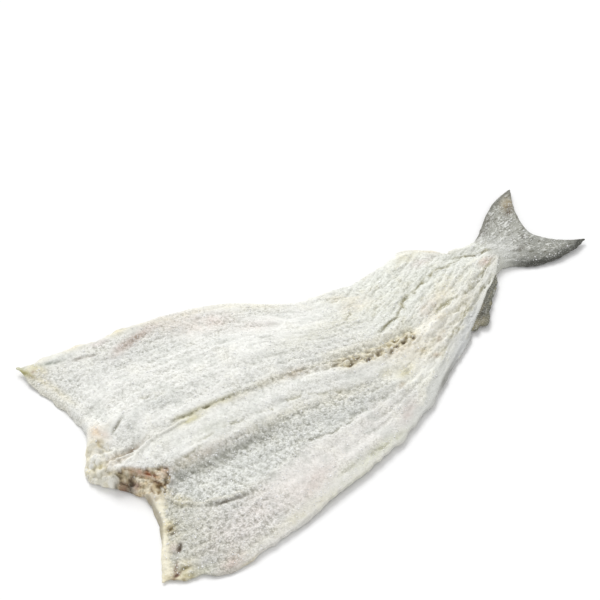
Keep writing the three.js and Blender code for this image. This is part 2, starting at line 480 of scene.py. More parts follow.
RIGHT = step(4, -4, SIDE)
LEFT = 1 - RIGHT
REAR = step(270, 380, PX + 20 * NOISE_45)
LOIN_GAP, LOIN_SPAN = line_distance(LOIN_EDGE)
BELLY_GAP, BELLY_SPAN = line_distance(BELLY_LINE)
BELLY_GAP += 1.2 * NOISE_6
BELLY_SPAN *= mix(1.0, 0.25, step(80, 112, PX))
FLAP_GAP = line_distance(FLAP_TOP)[0]
LOIN_TOP = RIGHT * step(-3, 6, LOIN_GAP + 2 * NOISE_6) * step(330, 280, PX)
BELLY = step(3, -8, FLAP_GAP + 2 * NOISE_6) * step(400, 340, PX)
TROUGH = RIGHT * (1 - LOIN_TOP) * (1 - BELLY) * over(24, 40, 270, 330)
STEEP = over(40, 56, 130, 240)  # where the loin's edge is a steep drop
CRUMBLY = spot(362, -58, 58, 26, 8) * RIGHT + 0.5 * spot(430, -28, 50, 22, 20)
SMOOTH_STRIP = spot(392, -84, 54, 7, 36)
RIGHT_RIM = step(20, 10, FROM_RIGHT + 4 * NOISE_14) * over(30, 60, 420, 480)
MEMBRANE = step(12, 5, FROM_LEFT + 4 * NOISE_14) * over(2, 20, 110, 150)

# Where the salt has caked into smooth patches, and how coarse the crust is elsewhere.
CAKED = step(0.05, 0.65, grain(24, 2, stretch=1.7))
GRITTY = 0.64 * LEFT + 0.5 * LOIN_TOP + 0.9 * TROUGH + mix(0.95, 0.52, step(90, 150, PX)) * BELLY
GRITTY = mix(GRITTY, 0.56, REAR) - mix(0.3, 0.16, RIGHT) * CAKED
GRITTY += 0.16 * NOISE_14 + 0.2 * spot(30, 110, 70, 40) - 0.1 * spot(190, 40, 90, 40)
GRITTY = np.clip(GRITTY, 0.15, 1.2) * (1 - 0.5 * spot(8, -142, 18, 10))
GRITTY = mix(GRITTY, 0.9, HOLLOW)
GRITTY *= (1 - 0.4 * NECK) * (1 - 0.45 * CRUMBLY)
GRITTY *= (
    (1 - 0.35 * SMOOTH_STRIP) * (1 - 0.4 * RIGHT_RIM) * (1 - 0.75 * COLLAR) * (1 - 0.7 * MEMBRANE)
)
# How deep the crust's relief is, on top of how coarse it is.
LUMPY = mix(1.0, 0.72, LOIN_TOP) * mix(1.0, mix(0.9, 0.6, step(90, 150, PX)), BELLY)


def flesh_heights():
    z = mix(CAD_TOP, CAD_SPREAD, step(14, 2, FROM_FRONT))

    # Broad swells and lengthwise ridges.
    z += 0.9 * NOISE_45 * RIM_WIDE
    z += (mix(0.8, 0.25, REAR) * STREAK + 0.5 * NOISE_14) * RIM_SOFT

    # The backbone groove, with a lip of flesh along each side of it.
    gap = BACKBONE_GAP + 0.8 * NOISE_6
    fade = over(74, 84, 215, 262)
    sharp = mix(1.0, 0.35, step(120, 170, PX))
    z += 2.2 * over(30, 60, 180, 250) * bump(gap - 1, 9)
    z += fade * sharp * (0.5 * bump(gap - 5, 3.5) + 0.6 * bump(gap + 5, 3.5))
    crusted = step(-0.3, 0.6, NOISE_3 + 0.5 * NOISE_6)
    z += 1.2 * over(150, 185, 240, 262) * bump(gap, 3.2) * crusted
    z -= fade * sharp * (1.7 + 1.3 * NOISE_6) * bump(gap, 1.5)
    z += 1.1 * over(225, 262, 335, 372) * bump(gap - 9.5, 4.0)
    z += BONE_HEIGHTS

    # The right loin breaks off along its lower edge into a trough, which is shallow
    # towards the tail. The belly flap starts at a thin raised line.
    gap = LOIN_GAP + 1.6 * NOISE_14
    z += LOIN_SPAN * STEEP * (1.8 * bump(gap - 5, 8) - 2.0 * bump(gap + 13, 8))
    z += (1 - STEEP) * LOIN_SPAN * 4.0 * bump(gap + 10, 16)
    below = 1.3 * bump(BELLY_GAP + 4, 2.2) * step(0.0, 0.5, NOISE_14 + 0.3)
    z += BELLY_SPAN * (1.2 * bump(BELLY_GAP, 1.5) - below)
    z -= 1.3 * spot(82, -110, 14, 1.6, -14)
    z -= ridge(BELLY_CREASE, 1.0, 1.8, 2.0) * np.clip(0.6 + 0.8 * NOISE_14 + 0.5 * NOISE_6, 0, 1.3)

    # The long seams towards the tail, faint creases, and crumbling flesh between them.
    for line, depth in SEAMS:
        z -= ridge(line, depth, 1.6, 2.4) * (0.7 + 0.7 * NOISE_6)
    for line, depth, width in CREASES:
        z -= ridge(line, depth, width, 2.2) * np.clip(0.6 + 0.8 * NOISE_6 + 0.6 * NOISE_14, 0, 1.5)
    gap, along = line_distance(LEFT_REAR)
    z += 1.0 * along * bump(gap + 7, 4.5)
    z += CRUMBLY * (0.8 * NOISE_6 + 0.6 * (CRUMB - 0.5))

    # Towards the tail the crust breaks into flakes and slanting folds.
    flaky = RIM_SOFT * (0.25 + 0.75 * REAR) * (1 - SMOOTH_STRIP) * (1 - 0.6 * RIGHT_RIM)
    flaky *= 1 - 0.3 * CRUMBLY
    z += flaky * (0.8 * FLAKE_PICK * step(0.0, 0.3, FLAKE) - 0.35)
    z += flaky * REAR * (0.8 * LEFT_SLANT * LEFT + 0.75 * RIGHT_SLANT * RIGHT)
    z += 0.45 * RIB_SLANT * TROUGH * STEEP
    z += 0.6 * SMOOTH_STRIP * (NOISE_3 + 0.8 * NOISE_6 + 0.6 * FIBRE)

    # The salt crust: grains, lengthwise fibres and small pits.
    calm = RIM_SOFT * GRITTY * LUMPY
    z += calm * (0.5 * NOISE_2 + 0.45 * NOISE_3 + mix(0.45, 0.2, REAR) * FIBRE)
    z += calm * mix(0.7, 0.35, REAR) * (CRUMB - 0.5)
    z -= calm * 0.6 * step(0.8, 1.3, NOISE_3 + 0.3 * FIBRE)
    z += 0.5 * CAKED * RIM_SOFT
    z += MEMBRANE * (0.7 * NOISE_6 + 0.5 * NOISE_3)

    # The nape: the torn stump of the neck, sinews, the torn hollow and the collar bone.
    z += NECK * (1 - HOLLOW) * (2.6 * NOISE_6 + 1.3 * NOISE_3 + 2.4 * (TORN_CRUMB - 0.5))
    z += spots((2.2, -6, -14, 9, 8, -50), (1.4, -8, 4, 5, 6, 20), (1.2, 2, 16, 5, 6, 60))
    z -= spots((1.8, 0, -4, 6, 1.8, 50), (1.4, 4, -18, 6, 1.6, -30), (1.2, -9, -4, 2.4, 1.6))
    z -= spots((0.9, 7, 11, 2.4, 5, 10), (1.0, 12, 24, 2, 5, 0))
    z -= 1.5 * spot(31, -11, 14, 3.6, 8)
    for line, height in SINEWS:
        z += ridge(line, 1.3 * height, 1.3, 0.8)
    floor = CAD_BASE + 7.5 + 11.5 * unit(FROM_FRONT / 24) ** 0.7
    floor += 2.4 * TORN_SLANT + 0.7 * (TORN_CRUMB - 0.5) + 0.8 * NOISE_3
    z = mix(z, np.minimum(z - 1.0, mix(z - 2.5 + 1.6 * TORN_SLANT, floor, BOWL)), HOLLOW)
    z -= spots((3.4, 12, -39, 4.2, 3.0, 20), (0.8, 8, -25.5, 3.6, 2.0, -20))
    crown = 1.3 * bump(FROM_FRONT - 0.5 * COLLAR_WIDTH, 4)
    z += COLLAR * (crown - 0.5 + 0.7 * NOISE_6 + 0.3 * NOISE_2)
    # Knobs and dents at the right corner, then creases and dents at the left one.
    z += spots((2.4, 19, -98, 4.2, 3.2, 20), (-1.6, 19, -101, 2.0, 1.4), (-1.4, 20, -105, 4, 1.6))
    z += spots((1.8, 12, -119, 3.0, 5, -30), (-3.4, 17, -122, 4.4, 2.2, 42))
    z -= spots((1.8, 4, -137, 4.6, 1.4, 50), (1.6, 1, -144, 5.5, 1.6, 16))
    z -= spots((1.5, 10, -142, 4.0, 1.3, -20), (1.2, -3, -148, 1.6, 3.0, 20))
    z += spots((1.3, 14, -148, 6, 4), (1.0, -2, -138, 4, 3))
    z -= 2.2 * spot(31, 20, 8, 1.6, 33)
    z -= spots((1.2, 16, 143, 10, 2, -20), (1.0, 44, 131, 7, 2.4, -15), (1.0, 58, 126, 6, 2.2, -20))

    # Every edge is rounded over. At the front it thins to a narrow rim.
    deep = np.maximum(z - CAD_BASE, 1.6)
    front = step(26, 12, FROM_FRONT)
    rim = mix(0.5, 0.2, front)
    reach = mix(RIM_NEAR, RIM_SOFT, front)
    reach = mix(reach, RIM_WIDE, 0.75 * NECK)
    share = rim + (1 - rim) * mix(np.sqrt(unit(1 - (1 - reach) ** 2)), reach, 0.7 * NECK)
    lumps = 1.5 * NOISE_6 + 1.1 * NOISE_3 + 2.2 * (TORN_CRUMB - 0.5) + 1.0 * (CRUMB - 0.5)
    return CAD_BASE + np.maximum(deep * share + (1 - HOLLOW) * (NECK_WALL * lumps), 1.2)


FLESH_Z = flesh_heights()

# ---- Colours ----


def srgb(*channels):
    c = np.array(channels, float) / 255
    return np.where(c <= 0.04045, c / 12.92, ((c + 0.055) / 1.055) ** 2.4)


def canvas(*colour):
    """A colour map: red, green, blue, and how gritty the surface looks there."""
    paint = np.ones(PX.shape + (4,))
    paint[..., :3] = srgb(*colour)
    return paint


def tint(paint, colour, amount):
    """Moves paint towards colour by amount, a map from 0 to 1."""
    paint[..., :3] += (srgb(*colour) - paint[..., :3]) * unit(amount)[..., None]


def add_stains(paint, stains, broken):
    """Lays on soft stains: x, y, long and short radius, degrees, colour and strength of each.

    broken is a map that breaks them up.
    """
    for *place, colour, strength in stains:
        tint(paint, colour, strength * broken * spot(*place))


CREAM = (229, 222, 198)
PINK = (228, 213, 207)
BROWN = (142, 112, 76)
MOSS = (204, 206, 182)
# Stains of the flesh side, as add_stains() takes them.
STAINS = [
    # the left corner
    (-14, 153, 5, 10, 10, (172, 172, 100), 1.0), (-7, 139, 2.6, 8, 25, (150, 136, 86), 0.7),
    (-9, 147, 6, 2.2, -62, (164, 160, 88), 0.8), (4, 143, 5, 2.2, -40, (176, 170, 120), 0.7),
    (0, 147, 11, 6, -30, (226, 220, 184), 0.9), (5, 139, 7, 4, -50, CREAM, 0.6),
    (0, 128, 12, 4, -75, CREAM, 0.7), (8, 104, 24, 4, -78, CREAM, 0.6),
    (-3, 143, 2.2, 1.8, 0, BROWN, 0.8), (16, 144, 12, 3.4, -20, (170, 174, 164), 0.85),
    (30, 142, 14, 5, -4, (210, 212, 206), 0.5), (-11, 148, 4, 1.6, -60, (130, 122, 60), 0.6),
    # the left edge
    (48, 150, 12, 5, 0, (232, 226, 206), 0.8), (98, 143, 13, 5, -6, (236, 229, 202), 0.85),
    (44, 131, 8, 3, -15, (164, 158, 150), 0.7), (58, 126, 7, 3, -20, (160, 152, 144), 0.7),
    (72, 138, 9, 5, -10, (216, 206, 204), 0.6), (100, 119, 21, 6.5, 10, (184, 160, 146), 0.9),
    (84, 113, 13, 6, 30, (200, 180, 168), 0.7), (112, 123, 13, 4, 4, (156, 130, 108), 0.75),
    (94, 118, 8, 2.4, 20, (150, 128, 108), 0.6), (128, 127, 12, 6, -8, (206, 194, 188), 0.6),
    (165, 106, 38, 19, -25, (236, 224, 215), 0.4), (190, 92, 22, 12, -28, (232, 214, 207), 0.3),
    (150, 118, 20, 8, -20, (220, 209, 194), 0.45), (222, 60, 22, 10, -20, PINK, 0.4),
    (230, 92, 50, 6, -35, (238, 234, 216), 0.5), (160, 124, 40, 4, -18, (232, 226, 210), 0.6),
    # grey shades over the left flap
    (80, 103, 42, 17, 4, (218, 219, 216), 0.6), (126, 88, 26, 12, -6, (218, 220, 215), 0.5),
    (80, 21, 24, 9, -4, (212, 214, 209), 0.6), (186, 62, 44, 16, -10, (230, 231, 226), 0.4),
    (262, 4, 66, 15, -12, (216, 216, 208), 0.6), (372, 2, 32, 12, 10, (208, 208, 197), 0.5),
    (468, 24, 26, 13, -10, (210, 211, 202), 0.7),
    (428, 12, 30, 8, 0, (204, 205, 194), 0.6), (318, 45, 10, 8, 0, (224, 218, 200), 0.5),
    # the neck and beside it
    (11, 27, 6, 9, 0, (226, 202, 170), 0.9), (6, 11, 6, 9, 10, (196, 182, 144), 0.8),
    (8, 14, 1.8, 3, 20, (130, 110, 76), 0.5), (16, 20, 4, 9, 10, (224, 208, 196), 0.6),
    (-3, -8, 5.0, 3.4, 0, (212, 196, 122), 0.95), (-8, -4, 2.2, 1.6, 0, (116, 106, 86), 0.85),
    (-6, 14, 8, 7, 0, (226, 218, 190), 0.8), (-8, -15, 9, 10, 0, (232, 229, 214), 0.8),
    (12, -12, 12, 6, -10, (220, 206, 184), 0.8), (2, -20, 8, 2.4, -30, (190, 176, 136), 0.7),
    # the dented wedge at (31, -11) and its darker core are painted shade between two ridges
    (31, -11, 15, 4.2, 8, (152, 138, 118), 0.8), (28, -14, 6, 2.2, 10, (122, 104, 86), 0.6),
    (31, 20, 8, 1.9, 33, (112, 106, 74), 0.95), (22, 26, 10, 5, 30, (222, 218, 206), 0.6),
    # the backbone groove and the cream flesh beside it
    (95, -14, 15, 4.4, -3, (214, 208, 166), 0.75), (214, -23, 14, 5, -14, (212, 198, 186), 0.55),
    (186, -17, 16, 5, -10, (216, 208, 188), 0.5), (138, -14, 24, 4, -8, (220, 214, 194), 0.5),
    # the right corner
    (8, -148, 14, 12, 20, (212, 202, 158), 0.85), (-4, -142, 7, 5, 60, (226, 216, 184), 0.8),
    (4, -137, 5.4, 1.7, 50, (128, 70, 40), 0.95), (1, -144, 6.4, 2.0, 16, (104, 62, 34), 0.95),
    (10, -142, 4.6, 1.6, -20, (124, 112, 46), 0.95), (-4, -148, 2.0, 3.4, 20, (128, 96, 48), 0.9),
    (12, -152, 9, 2.2, 30, (150, 138, 74), 0.6), (4, -151, 2.2, 1.8, 0, (132, 110, 60), 0.7),
    (22, -153, 10, 5, -8, (206, 206, 180), 0.7), (30, -148, 12, 6, 0, (196, 198, 200), 0.5),
    (19, -98, 6.5, 5.4, 20, (238, 226, 178), 0.95), (19, -100, 4.2, 3.0, 0, (146, 120, 58), 0.95),
    (20, -106, 3.6, 1.6, 0, (110, 92, 64), 0.7), (17, -122, 5.0, 2.1, 42, (104, 78, 58), 0.95),
    (12, -119, 3.4, 5, -30, (224, 204, 186), 0.9), (18, -114, 6, 3, 20, (206, 196, 160), 0.6),
    # the right belly flap
    (160, -138, 22, 8, 14, (202, 188, 180), 0.7), (50, -163, 12, 7, 10, (210, 186, 176), 0.6),
    (62, -173, 20, 3, 4, (224, 212, 176), 0.8),
    (75, -140, 50, 18, 4, (226, 216, 213), 0.4), (140, -130, 50, 18, 4, (230, 222, 217), 0.35),
    (288, -122, 18, 6, 32, (206, 196, 190), 0.7), (230, -142, 46, 6, 3, MOSS, 0.6),
    (130, -158, 60, 6, 3, (224, 220, 202), 0.7), (200, -158, 40, 6, 8, MOSS, 0.4),
    (44, -82, 12, 5, -50, (222, 214, 180), 0.8), (34, -66, 8, 6, 0, (222, 208, 172), 0.7),
    # grey patches along the right loin and in the trough; the whiter places at (97, -150), (41, 3)
    # and (277, -92) are painted light against the shade of the relief there
    (109, -84, 16, 7, 0, (212, 214, 208), 0.6), (97, -150, 16, 6, 0, (246, 244, 240), 0.6),
    (41, 3, 10, 4, -10, (248, 248, 243), 0.6), (277, -92, 14, 5, 5, (244, 243, 236), 0.5),
    (486, 16, 16, 6, -25, (194, 195, 187), 0.7),
    (112, -35, 30, 9, -4, (216, 217, 208), 0.75), (66, -20, 12, 6, 0, (226, 226, 218), 0.5),
    # the loin's broken edge
    (90, -54, 44, 5, -5, (222, 212, 198), 0.6), (60, -52, 14, 4, -10, (236, 228, 204), 0.5),
    (180, -62, 60, 7, -8, (222, 219, 202), 0.5), (250, -74, 40, 8, -12, (222, 217, 200), 0.4),
    # towards the tail
    (325, -58, 16, 6, 0, (234, 216, 198), 0.5), (390, -28, 22, 9, 20, (234, 220, 208), 0.45),
    (350, -66, 40, 18, 8, (246, 239, 220), 0.5), (314, -82, 12, 6, 10, (216, 208, 164), 0.5),
    (296, -74, 9, 5, 0, (222, 213, 176), 0.4), (392, -45, 14, 6, 5, (218, 206, 174), 0.4),
    (373, -66, 5, 2.4, 28, (166, 142, 108), 0.6), (388, -47, 5.5, 2.2, 8, (160, 140, 98), 0.65),
    (359, -81, 6, 2.6, 0, (168, 144, 110), 0.6), (347, -70, 6, 2.6, -10, (186, 170, 126), 0.5),
    (383, -61, 4, 2.2, 30, (168, 146, 108), 0.6), (316, -83, 5, 2.4, 20, (168, 160, 112), 0.6),
    (300, -94, 6, 3, 10, (176, 160, 130), 0.6), (340, -54, 9, 5, 0, (240, 230, 204), 0.4),
    (418, -20, 22, 8, 20, CREAM, 0.6), (430, -40, 20, 6, 18, (234, 228, 208), 0.6),
    (488, -9, 10, 5, 5, (228, 204, 190), 0.75), (450, 48, 26, 5, -40, (226, 214, 186), 0.5),
    (424, 52, 16, 7, 0, (222, 216, 186), 0.6), (432, 36, 18, 8, 0, (226, 216, 212), 0.5),
    (300, 12, 60, 14, 0, (218, 216, 198), 0.4), (330, 25, 20, 14, 0, (224, 214, 196), 0.4),
]
# The same inside the torn hollow at the nape.
HOLLOW_STAINS = [
    (5, -36, 7, 5, -50, (164, 132, 110), 0.7), (4, -28, 4, 3, -40, (176, 168, 136), 0.6),
    (12, -30, 8, 4, -40, (204, 190, 160), 0.6), (24, -63, 6, 4, -40, (168, 148, 118), 0.6),
    (29, -42, 15, 3.2, -46, (166, 98, 56), 0.9), (16, -43, 4, 3, -40, (222, 190, 178), 0.8),
    (23, -50, 6, 4, -50, (216, 194, 152), 0.7), (45, -50, 5, 4, 0, (222, 194, 174), 0.8),
    (31, -52, 3.4, 2.2, -60, (150, 118, 88), 0.8), (33, -58, 3.4, 2.2, -30, (112, 92, 48), 0.9),
    (25, -59, 7, 1.3, -100, (134, 104, 64), 0.9), (30, -62, 3, 1.2, -80, (150, 122, 78), 0.8),
    (46, -53, 2.4, 1.8, 0, (120, 104, 84), 0.9), (41, -56, 2.4, 1.8, 0, (96, 86, 52), 0.9),
    (45, -61, 3.0, 2.0, 0, (130, 124, 112), 0.9), (8, -26, 3.0, 2.0, -40, (120, 110, 70), 0.4),
    (2, -24, 3.4, 2.2, -20, (150, 142, 112), 0.8), (0, -31, 2.4, 1.8, 0, (92, 86, 62), 0.9),
    # the near-black patches at (9, -42) and (12, -39) are painted shade deep in the hole there
    (14, -36, 3.0, 2.4, 0, (98, 74, 44), 0.8), (9, -42, 5.0, 3.2, -35, (72, 48, 32), 0.9),
    (12, -39, 3.6, 2.6, 30, (40, 26, 18), 1.0), (17, -36, 3.0, 2.0, -30, (104, 78, 54), 0.8),
]


def flesh_colours():
    paint = canvas(238, 238, 233)
    tint(paint, (236, 236, 231), LOIN_TOP)
    tint(paint, (236, 237, 232), TROUGH)
    tint(paint, (235, 233, 228), BELLY)
    tint(paint, (216, 215, 205), BELLY * step(80, 30, PX))
    tint(paint, (238, 240, 231), 0.85 * REAR)
    # Painted light: the right side towards the tail, the crumbly flesh and two patches in it are
    # lightened against the shade of their own relief.
    tint(paint, (244, 244, 238), 0.6 * REAR * RIGHT)
    tint(paint, (248, 245, 234), 0.6 * CRUMBLY)
    tint(paint, (255, 252, 240), spots((0.9, 345, -56, 24, 12, 12), (0.8, 426, -52, 24, 9, 20)))
    tint(paint, (206, 207, 202), RIGHT_RIM * (0.25 + 0.75 * step(230, 330, PX)))
    tint(paint, (224, 224, 215), 0.8 * MEMBRANE)
    # Painted shade and shadow: the right edge's outer few mm from x 325 to 425 are darkened, for
    # its shaded side wall and the shadow under it.
    rim_wall_shadow = step(4, 0.5, FROM_RIGHT) * over(325, 345, 405, 425)
    tint(paint, (128, 127, 118), 0.8 * rim_wall_shadow)
    patches = step(-0.2, 0.6, NOISE_14)
    tint(paint, (234, 231, 217), 0.6 * LEFT * (1 - RIM_SOFT) * patches)
    tint(paint, (203, 205, 205), 0.85 * SMOOTH_STRIP)
    mottle = step(0.15, 0.9, NOISE_14 + 0.3 * NOISE_6)
    tint(paint, (222, 218, 195), 0.44 * mottle * (0.3 + 0.7 * REAR))
    dull = step(0.1, 0.9, -NOISE_14 + 0.3 * NOISE_6)
    tint(paint, (214, 216, 210), 0.5 * dull * (1 - REAR))
    # Painted light: the left flap's edge zone from x 150 on, which slopes towards the key light, is
    # lightened.
    tint(paint, (247, 247, 242), 0.6 * LEFT * (1 - RIM_SOFT) * step(140, 200, PX))
    # The cream collar bone and neck, then the stains.
    tint(paint, (245, 238, 212), COLLAR * (0.85 + 0.25 * NOISE_6))
    tint(paint, (204, 190, 152), 0.5 * COLLAR * step(0.3, 0.9, NOISE_3))
    # Painted shadow: a thin dark line along the collar's front edge, from about y -110 to the
    # collar's end.
    edge = COLLAR * step(3.0, 1.0, FROM_FRONT) * step(-118, -100, PY)
    tint(paint, (136, 128, 112), 0.7 * edge)
    # The neck is tinted cream white. Its front wall, which faces away from the key light, is
    # painted near white as painted light.
    tint(paint, (252, 250, 241), np.maximum(0.6 * NECK, 0.95 * NECK_WALL))
    speckle = NECK_WALL * (1 - HOLLOW)
    tint(paint, (214, 200, 150), 0.6 * speckle * step(0.2, 0.8, NOISE_3 + 0.4 * NOISE_6))
    tint(paint, (190, 182, 160), 0.6 * speckle * step(0.3, 0.9, NOISE_2 - 0.4 * NOISE_6))
    yellow = step(0.6, 0.95, TORN_PICK) * step(0.1, 0.5, TORN_CRUMB)
    tint(paint, (232, 220, 172), 0.6 * NECK * yellow)
    tint(paint, (184, 174, 142), 0.7 * NECK * step(0.25, 0.0, TORN_CRUMB))
    add_stains(paint, STAINS, 0.97 + 0.35 * NOISE_6 + 0.3 * NOISE_3)

    # The groove, the creases and the seams hold less salt.
    gap = BACKBONE_GAP + 0.8 * NOISE_6
    fade = over(76, 88, 225, 262)
    sharp = mix(1.0, 0.25, step(125, 165, PX))
    tint(paint, (206, 200, 160), 0.6 * fade * sharp * bump(gap, 3.4))
    bare = step(-0.4, 0.5, NOISE_3 + 0.5 * NOISE_6)
    tint(paint, (124, 118, 70), 0.85 * fade * sharp * bump(gap, 1.4) * bare)
    broken = unit(0.7 + 0.6 * NOISE_14 + 0.5 * NOISE_3)
    for line, _ in SEAMS:
        tint(paint, (164, 158, 118), ridge(line, 0.75, 2.2, 2.4) * broken)
    tint(paint, (120, 114, 62), 0.9 * spot(336, -24, 13, 1.8, 14))
    tint(paint, (120, 116, 72), spots((0.8, 374, -3, 7, 1.6, 30), (0.8, 402, 5, 9, 1.5, 25)))
    tint(paint, (118, 110, 72), spots((0.95, 497, 3, 14, 1.7, -8), (0.7, 480, 9, 6, 1.5, -38)))
    broken = np.clip(0.6 + 0.8 * NOISE_6 + 0.6 * NOISE_14, 0, 1.2)
    for line, depth, width in CREASES:
        tint(paint, (172, 168, 140), ridge(line, 0.55 * depth, width + 0.2, 2.2) * broken)
    tint(paint, (230, 225, 206), 0.7 * BELLY_SPAN * bump(BELLY_GAP, 1.6))
    # Painted shade in the furrow below the belly line, and in the dent under its front end.
    tint(paint, (164, 162, 147), 0.35 * BELLY_SPAN * bump(BELLY_GAP + 4, 2.2))
    tint(paint, (112, 100, 84), spots((0.9, 77, -108, 6, 1.5, -14), (0.5, 90, -111, 5, 1.4, -14)))
    broken = unit(0.6 + 0.8 * NOISE_14 + 0.5 * NOISE_6)
    tint(paint, (170, 168, 152), ridge(BELLY_CREASE, 0.5, 2.2, 2.0) * broken)
    # Painted shade along the trough below the loin's broken edge, fading to a quarter from x 110 to
    # 200.
    gap = LOIN_GAP + 12 + 3 * NOISE_6
    dark = LOIN_SPAN * bump(gap, 5.5) * mix(1.0, 0.25, step(110, 200, PX))
    dark = dark * np.clip(0.9 + 0.6 * NOISE_6 + 0.6 * NOISE_3, 0, 1.6)
    tint(paint, (160, 159, 145), 0.45 * dark)

    # The stained stumps of the backbone, the cream ridge above them, lightened further as painted
    # light on its shaded slope, and the bright sinews.
    lit_cream_ridge = over(240, 262, 335, 360) * bump(BACKBONE_GAP - 11, 4.5)
    tint(paint, (240, 237, 222), 0.8 * lit_cream_ridge)
    stained = BONE_BAND * (0.3 + 0.7 * step(240, 265, PX))
    tint(paint, (222, 210, 170), 1.1 * stained * (0.8 + 0.4 * NOISE_3))
    # Brown painted shade in the creases between the band's crumbs.
    tint(paint, (150, 130, 88), 0.7 * stained * (1 - TORN_CRUMB) ** 1.5)
    tips = stained * step(0.6, 0.95, TORN_CRUMB) * step(0.3, 0.6, TORN_PICK)
    tint(paint, (238, 230, 202), 0.8 * tips)
    # Dark brown painted shade in the pits beside the stumps.
    tint(paint, (98, 80, 50), 1.05 * BONE_PITS)
    for line, _ in SINEWS:
        tint(paint, (238, 236, 224), ridge(line, 0.6, 1.6, 0.8))

    # Torn fibres in the hollow.
    tint(paint, (226, 208, 172), HOLLOW)
    strand = TORN_SLANT + 0.5 * NOISE_2
    tint(paint, (116, 84, 52), 0.95 * HOLLOW * step(-0.2, -0.6, strand))
    tint(paint, (252, 246, 226), 0.95 * HOLLOW * step(0.1, 0.5, strand))
    add_stains(paint, HOLLOW_STAINS, 0.95 + 0.4 * NOISE_3)

    # Painted shade darkens what lies sunk in the relief, and painted light whitens what stands
    # proud.
    fine = np.clip((FLESH_Z - blur(FLESH_Z, 1.6)) / 0.45, -1, 1)
    broad = np.clip((FLESH_Z - blur(FLESH_Z, 4.5)) / 1.1, -1, 1)
    sunk = unit(-0.8 * fine - 0.45 * broad) * FISH * RIM_NEAR
    shade = srgb(152, 151, 138) / srgb(238, 238, 233)
    paint[..., :3] *= 1 - (1 - shade) * (0.6 * sunk * (0.4 + 0.6 * GRITTY))[..., None]
    proud = unit(0.6 * fine + 0.4 * broad)
    tint(paint, (248, 249, 247), 0.35 * proud * RIM_SOFT * (1 - HOLLOW))
    grit = 1 + 0.06 * NOISE_2 + 0.03 * FIBRE + 0.022 * NOISE_6 + 0.02 * NOISE_14
    paint[..., :3] *= np.clip(grit, 0.78, 1.12)[..., None]
    tint(paint, (190, 191, 184), 0.8 * step(492, 512, PX + 3 * NOISE_6 - 0.3 * np.abs(PY)))
    paint[..., 3] = GRITTY
    return paint


def skin_colours():
    paint = canvas(186, 184, 170)
    back = bump(ACROSS, 0.42)
    tint(paint, (120, 118, 100), 0.85 * back * (0.8 + 0.3 * NOISE_14))
    tint(paint, (100, 98, 82), 0.6 * step(0.1, 0.7, NOISE_14 + 0.5 * NOISE_6) * bump(ACROSS, 0.6))
    lateral = bump((np.abs(ACROSS) - 0.4) * 130, 2.4)
    tint(paint, (204, 202, 188), 0.8 * lateral * FISH)
    tint(paint, (214, 210, 196), 0.7 * step(0.75, 1.0, np.abs(ACROSS)))
    tint(paint, (226, 226, 220), 0.5 * step(0.35, 0.9, NOISE_3 + 0.4 * NOISE_14))
    paint[..., :3] *= np.clip(1 + 0.06 * NOISE_2, 0.8, 1.15)[..., None]
    return paint


FLESH_PAINT = flesh_colours()
SKIN_PAINT = skin_colours()
SKIN_RELIEF = 0.25 * np.clip(0.6 + NOISE_6, 0, 2)
SKIN_Z = np.maximum(CAD_BASE, 0) + SKIN_RELIEF * step(0, 2.5, CAD_BASE + 0.6)

# ---- Closed meshes between a flesh-side map and a skin-side map ----

FLESH_SPACING = 1.27
SKIN_SPACING = 3.4


def inner_points(loop, spacing):
    """A jittered triangular grid of points inside a loop, clear of its own points."""
    inside = fill(loop)
    near_edge = blur(inside, 2.0)
    xs = np.arange(X0, X1, spacing * math.sqrt(3) / 2)
    ys = np.arange(Y0, Y1, spacing)
    x, y = np.meshgrid(xs, ys, indexing="ij")
    y = y + spacing / 2 * (np.arange(len(xs)) % 2)[:, None]
    points = np.stack([x.ravel(), y.ravel()], 1)
    points += rng.uniform(-0.18, 0.18, points.shape) * spacing
    points = points[sample(inside, *points.T) > 0.5]
    kept = sample(near_edge, *points.T) > 0.97
    tree = KDTree(len(loop))
    for index, point in enumerate(loop):
        tree.insert((*point, 0), index)
    tree.balance()
    for index in np.flatnonzero(~kept):
        kept[index] = tree.find((*points[index], 0))[2] > 0.62 * spacing
    return points[kept]


def triangulate(loop, points):
    flat = np.vstack([loop, points])
    result = delaunay_2d_cdt([Vector(p) for p in flat], [], [list(range(len(loop)))], 1, 1e-7)
    if len(result[0]) != len(flat):
        raise RuntimeError("the outline crosses itself or a point lies on it")
    return [tuple(face) for face in result[2]]


def add_object(name, data):
    item = bpy.data.objects.new(name, data)
    bpy.context.scene.collection.objects.link(item)
    return item


# The rings below the flesh side's outline: share of the way down, and bulges outwards.
RIM_RINGS = [(0.4, 0.9), (0.8, 0.4), (1.0, -1.4)]


